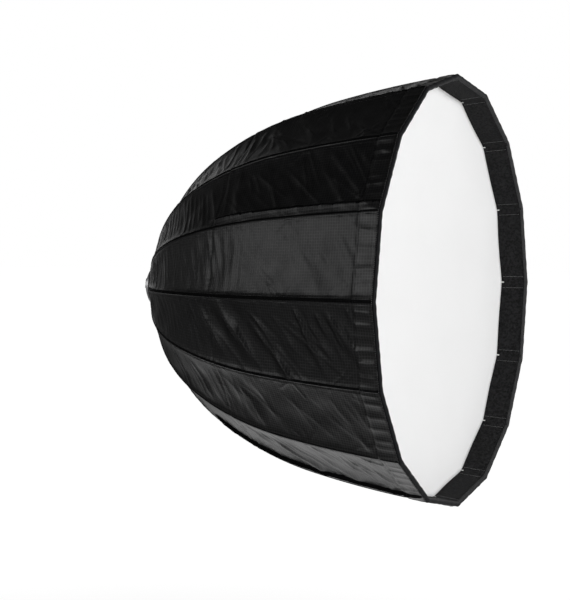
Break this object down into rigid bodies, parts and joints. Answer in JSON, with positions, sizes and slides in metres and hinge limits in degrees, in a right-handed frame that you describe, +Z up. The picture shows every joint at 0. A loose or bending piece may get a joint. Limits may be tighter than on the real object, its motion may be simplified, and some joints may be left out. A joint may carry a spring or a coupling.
{
  "type": "octabox softbox",
  "caption": "Deep black parabolic softbox with sprung rods hinged on a bayonet speed ring, a recessed white front diffuser and an inner baffle; folds like an umbrella.",
  "frame": {"origin": "centre of the annular seat that meets the lamp head, on the optical axis", "axes": "+X along the optical axis to the open front, +Z up, +Y to the far side"},
  "size_m": [0.9742, 1.1998, 1.1998],
  "materials": {
    "bare_aluminium": "turned, satin",
    "white_nylon": "plain nylon",
    "steel": "zinc plated",
    "black_ring": "black powder coat on cast aluminium",
    "black_plastic": "moulded, fine grain",
    "fibreglass": "pultruded black glass fibre rod",
    "black_cloth": "satin black ripstop nylon with a silver lining",
    "white_cloth": "translucent white nylon",
    "white_tape": "woven hook tape"
  },
  "bodies": {
    "bayonet_adapter": {"bayonet_adapter": "bare_aluminium", "friction_washer": "white_nylon", "retaining_ring": "bare_aluminium", "retaining_screws": "steel"},
    "speed_ring": {"speed_ring": "black_ring", "hinge_pins": "steel", "rear_collar": "black_cloth"},
    "lock_knob": {"lock_stud": "steel", "lock_knob": "black_plastic"},
    "rod_01": {"rod_socket_01": "black_ring", "rod_01": "fibreglass", "gore_panel_01": "black_cloth"},
    "rod_02": {"rod_socket_02": "black_ring", "rod_02": "fibreglass", "gore_panel_02": "black_cloth"},
    "rod_03": {"rod_socket_03": "black_ring", "rod_03": "fibreglass", "gore_panel_03": "black_cloth"},
    "rod_04": {"rod_socket_04": "black_ring", "rod_04": "fibreglass", "gore_panel_04": "black_cloth"},
    "rod_05": {"rod_socket_05": "black_ring", "rod_05": "fibreglass", "gore_panel_05": "black_cloth"},
    "rod_06": {"rod_socket_06": "black_ring", "rod_06": "fibreglass", "gore_panel_06": "black_cloth"},
    "rod_07": {"rod_socket_07": "black_ring", "rod_07": "fibreglass", "gore_panel_07": "black_cloth"},
    "rod_08": {"rod_socket_08": "black_ring", "rod_08": "fibreglass", "gore_panel_08": "black_cloth"},
    "rod_09": {"rod_socket_09": "black_ring", "rod_09": "fibreglass", "gore_panel_09": "black_cloth"},
    "rod_10": {"rod_socket_10": "black_ring", "rod_10": "fibreglass", "gore_panel_10": "black_cloth"},
    "rod_11": {"rod_socket_11": "black_ring", "rod_11": "fibreglass", "gore_panel_11": "black_cloth"},
    "rod_12": {"rod_socket_12": "black_ring", "rod_12": "fibreglass", "gore_panel_12": "black_cloth"},
    "rod_13": {"rod_socket_13": "black_ring", "rod_13": "fibreglass", "gore_panel_13": "black_cloth"},
    "rod_14": {"rod_socket_14": "black_ring", "rod_14": "fibreglass", "gore_panel_14": "black_cloth"},
    "rod_15": {"rod_socket_15": "black_ring", "rod_15": "fibreglass", "gore_panel_15": "black_cloth"},
    "rod_16": {"rod_socket_16": "black_ring", "rod_16": "fibreglass", "gore_panel_16": "black_cloth"},
    "front_diffuser": {"front_diffuser": "white_cloth", "diffuser_tape": "white_tape"},
    "inner_baffle": {"inner_baffle": "white_cloth"}
  },
  "joints": [
    {"name": "canopy_turn", "type": "hinge", "parent": "bayonet_adapter", "child": "speed_ring", "pos_m": [0, 0, 0], "axis": [1, 0, 0], "continuous": true},
    {"name": "lock_turn", "type": "hinge", "parent": "speed_ring", "child": "lock_knob", "pos_m": [0.0135, 0, 0], "axis": [0, 0.9808, -0.1951], "range_deg": [0, 360]},
    {"name": "rod_01_fold", "type": "hinge", "parent": "speed_ring", "child": "rod_01", "pos_m": [0.035, 0, 0.07], "axis": [0, 1, 0], "range_deg": [0, 27], "deforming": ["gore_panel_01"]},
    {"name": "rod_02_fold", "type": "hinge", "parent": "speed_ring", "child": "rod_02", "pos_m": [0.035, 0.02679, 0.06467], "axis": [0, 0.9239, -0.3827], "range_deg": [0, 27], "deforming": ["gore_panel_02"]},
    {"name": "rod_03_fold", "type": "hinge", "parent": "speed_ring", "child": "rod_03", "pos_m": [0.035, 0.0495, 0.0495], "axis": [0, 0.7071, -0.7071], "range_deg": [0, 27], "deforming": ["gore_panel_03"]},
    {"name": "rod_04_fold", "type": "hinge", "parent": "speed_ring", "child": "rod_04", "pos_m": [0.035, 0.06467, 0.02679], "axis": [0, 0.3827, -0.9239], "range_deg": [0, 27], "deforming": ["gore_panel_04"]},
    {"name": "rod_05_fold", "type": "hinge", "parent": "speed_ring", "child": "rod_05", "pos_m": [0.035, 0.07, 0], "axis": [0, 0, -1], "range_deg": [0, 27], "deforming": ["gore_panel_05"]},
    {"name": "rod_06_fold", "type": "hinge", "parent": "speed_ring", "child": "rod_06", "pos_m": [0.035, 0.06467, -0.02679], "axis": [0, -0.3827, -0.9239], "range_deg": [0, 27], "deforming": ["gore_panel_06"]},
    {"name": "rod_07_fold", "type": "hinge", "parent": "speed_ring", "child": "rod_07", "pos_m": [0.035, 0.0495, -0.0495], "axis": [0, -0.7071, -0.7071], "range_deg": [0, 27], "deforming": ["gore_panel_07"]},
    {"name": "rod_08_fold", "type": "hinge", "parent": "speed_ring", "child": "rod_08", "pos_m": [0.035, 0.02679, -0.06467], "axis": [0, -0.9239, -0.3827], "range_deg": [0, 27], "deforming": ["gore_panel_08"]},
    {"name": "rod_09_fold", "type": "hinge", "parent": "speed_ring", "child": "rod_09", "pos_m": [0.035, 0, -0.07], "axis": [0, -1, 0], "range_deg": [0, 27], "deforming": ["gore_panel_09"]},
    {"name": "rod_10_fold", "type": "hinge", "parent": "speed_ring", "child": "rod_10", "pos_m": [0.035, -0.02679, -0.06467], "axis": [0, -0.9239, 0.3827], "range_deg": [0, 27], "deforming": ["gore_panel_10"]},
    {"name": "rod_11_fold", "type": "hinge", "parent": "speed_ring", "child": "rod_11", "pos_m": [0.035, -0.0495, -0.0495], "axis": [0, -0.7071, 0.7071], "range_deg": [0, 27], "deforming": ["gore_panel_11"]},
    {"name": "rod_12_fold", "type": "hinge", "parent": "speed_ring", "child": "rod_12", "pos_m": [0.035, -0.06467, -0.02679], "axis": [0, -0.3827, 0.9239], "range_deg": [0, 27], "deforming": ["gore_panel_12"]},
    {"name": "rod_13_fold", "type": "hinge", "parent": "speed_ring", "child": "rod_13", "pos_m": [0.035, -0.07, 0], "axis": [0, 0, 1], "range_deg": [0, 27], "deforming": ["gore_panel_13"]},
    {"name": "rod_14_fold", "type": "hinge", "parent": "speed_ring", "child": "rod_14", "pos_m": [0.035, -0.06467, 0.02679], "axis": [0, 0.3827, 0.9239], "range_deg": [0, 27], "deforming": ["gore_panel_14"]},
    {"name": "rod_15_fold", "type": "hinge", "parent": "speed_ring", "child": "rod_15", "pos_m": [0.035, -0.0495, 0.0495], "axis": [0, 0.7071, 0.7071], "range_deg": [0, 27], "deforming": ["gore_panel_15"]},
    {"name": "rod_16_fold", "type": "hinge", "parent": "speed_ring", "child": "rod_16", "pos_m": [0.035, -0.02679, 0.06467], "axis": [0, 0.9239, 0.3827], "range_deg": [0, 27], "deforming": ["gore_panel_16"]},
    {"name": "diffuser_release", "type": "slide", "parent": "speed_ring", "child": "front_diffuser", "axis": [1, 0, 0], "range_m": [0, 0.297], "deforming": ["front_diffuser", "diffuser_tape"]},
    {"name": "baffle_release", "type": "slide", "parent": "speed_ring", "child": "inner_baffle", "axis": [1, 0, 0], "range_m": [0, 0.455], "deforming": ["inner_baffle"]}
  ],
  "couplings": [
    {"joint": "rod_02_fold", "follows": "rod_01_fold", "ratio": 1},
    {"joint": "rod_03_fold", "follows": "rod_01_fold", "ratio": 1},
    {"joint": "rod_04_fold", "follows": "rod_01_fold", "ratio": 1},
    {"joint": "rod_05_fold", "follows": "rod_01_fold", "ratio": 1},
    {"joint": "rod_06_fold", "follows": "rod_01_fold", "ratio": 1},
    {"joint": "rod_07_fold", "follows": "rod_01_fold", "ratio": 1},
    {"joint": "rod_08_fold", "follows": "rod_01_fold", "ratio": 1},
    {"joint": "rod_09_fold", "follows": "rod_01_fold", "ratio": 1},
    {"joint": "rod_10_fold", "follows": "rod_01_fold", "ratio": 1},
    {"joint": "rod_11_fold", "follows": "rod_01_fold", "ratio": 1},
    {"joint": "rod_12_fold", "follows": "rod_01_fold", "ratio": 1},
    {"joint": "rod_13_fold", "follows": "rod_01_fold", "ratio": 1},
    {"joint": "rod_14_fold", "follows": "rod_01_fold", "ratio": 1},
    {"joint": "rod_15_fold", "follows": "rod_01_fold", "ratio": 1},
    {"joint": "rod_16_fold", "follows": "rod_01_fold", "ratio": 1},
    {"joint": "diffuser_release", "follows": "rod_01_fold", "m_per_rad": 0.63025},
    {"joint": "baffle_release", "follows": "rod_01_fold", "m_per_rad": 0.96553}
  ]
}
